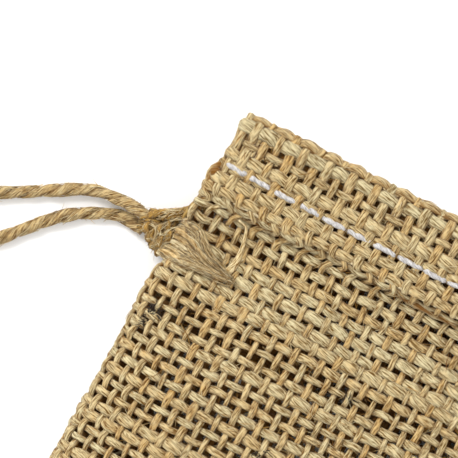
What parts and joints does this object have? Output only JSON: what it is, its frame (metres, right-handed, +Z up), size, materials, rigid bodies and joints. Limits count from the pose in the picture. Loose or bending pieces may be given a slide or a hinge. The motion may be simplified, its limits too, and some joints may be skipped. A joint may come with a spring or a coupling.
{
  "type": "drawstring gift pouch",
  "caption": "Flat rectangular drawstring pouch of coarse plain-woven jute with a turned-in stitched mouth hem and a knotted twine loop pulled from one side.",
  "frame": {"origin": "centre of the pouch's footprint, on the surface it lies on (without the free twine)", "axes": "+X right across the mouth, +Y towards the mouth, +Z up out of the front panel"},
  "size_m": [0.1702, 0.14, 0.0163],
  "materials": {
    "jute_cloth": "coarse plain-woven jute hessian, natural undyed",
    "jute_twine": "two-ply natural jute twine, hairy",
    "frayed_jute": "loose jute fibre, untwisted",
    "white_thread": "bright white spun sewing thread",
    "natural_thread": "natural thin jute-coloured sewing thread"
  },
  "bodies": {
    "pouch": {"front_panel": "jute_cloth", "back_panel": "jute_cloth", "bottom_fold": "jute_cloth", "front_hem_flap": "jute_cloth", "back_hem_flap": "jute_cloth", "left_seam_allowance": "jute_cloth", "right_seam_allowance": "jute_cloth", "left_seam_thread": "natural_thread", "right_seam_thread": "natural_thread", "front_hem_stitch": "white_thread", "back_hem_stitch": "white_thread", "front_casing_stitch": "natural_thread", "back_casing_stitch": "natural_thread", "drawstring_right_bight": "jute_twine"},
    "drawstring": {"drawstring_front_run": "jute_twine", "drawstring_back_run": "jute_twine", "drawstring_front_exit": "jute_twine", "drawstring_back_exit": "jute_twine", "joining_knot": "jute_twine", "knot_tail_brush": "frayed_jute", "knot_tail_curl": "frayed_jute", "pull_loop": "jute_twine"}
  },
  "joints": [
    {"name": "drawstring_pull", "type": "slide", "parent": "pouch", "child": "drawstring", "axis": [-1, 0, 0], "range_m": [0, 0.07]}
  ]
}
